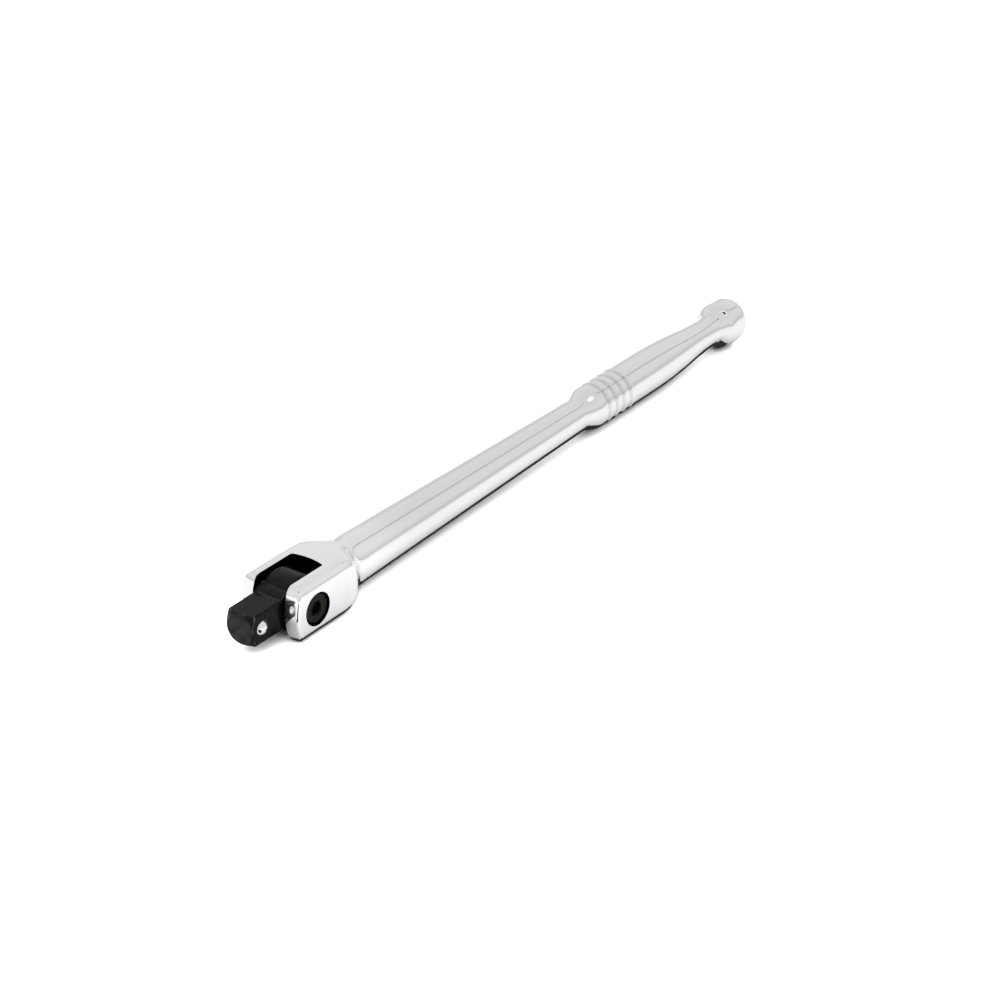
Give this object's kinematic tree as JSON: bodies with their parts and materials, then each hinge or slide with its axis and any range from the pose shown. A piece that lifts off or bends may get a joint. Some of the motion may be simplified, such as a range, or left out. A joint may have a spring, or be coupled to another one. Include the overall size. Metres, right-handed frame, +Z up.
{
  "type": "breaker bar",
  "caption": "Chromed steel breaker bar: forked head with a swivelling black square drive, tapered round shank, grooved grip and end knob.",
  "frame": {"origin": "centre of the square drive's flat end face, on the bar's axis", "axes": "+X along the bar from the drive end to the knob, Y along the pivot screw with its head on the -Y side, +Z up"},
  "size_m": [0.263, 0.021, 0.0174],
  "materials": {
    "chrome_plate": "polished nickel-chrome plate",
    "black_oxide": "black oxide, satin, slightly oiled",
    "black_screw": "black oxide, satin",
    "bright_ball": "polished bearing steel",
    "spring_steel": "drawn wire",
    "plunger_steel": "turned and hardened"
  },
  "bodies": {
    "handle": {"bar": "chrome_plate", "pivot_screw": "black_screw", "plunger_spring": "spring_steel"},
    "drive": {"drive_tang": "black_oxide", "ball_spring": "spring_steel"},
    "ball": {"detent_ball": "bright_ball"},
    "plunger": {"friction_plunger": "plunger_steel"}
  },
  "joints": [
    {"name": "drive_swivel", "type": "hinge", "parent": "handle", "child": "drive", "pos_m": [0.0208, 0, 0], "axis": [0, 1, 0], "range_deg": [-90, 90]},
    {"name": "ball_press", "type": "slide", "parent": "drive", "child": "ball", "axis": [0, 1, 0], "range_m": [0, 0.0011], "stiffness_N_per_m": 2000, "springref_m": -0.001, "deforming": ["ball_spring"]},
    {"name": "plunger_press", "type": "slide", "parent": "handle", "child": "plunger", "axis": [1, 0, 0], "range_m": [0, 0.001], "stiffness_N_per_m": 4000, "springref_m": -0.001, "deforming": ["plunger_spring"]}
  ]
}
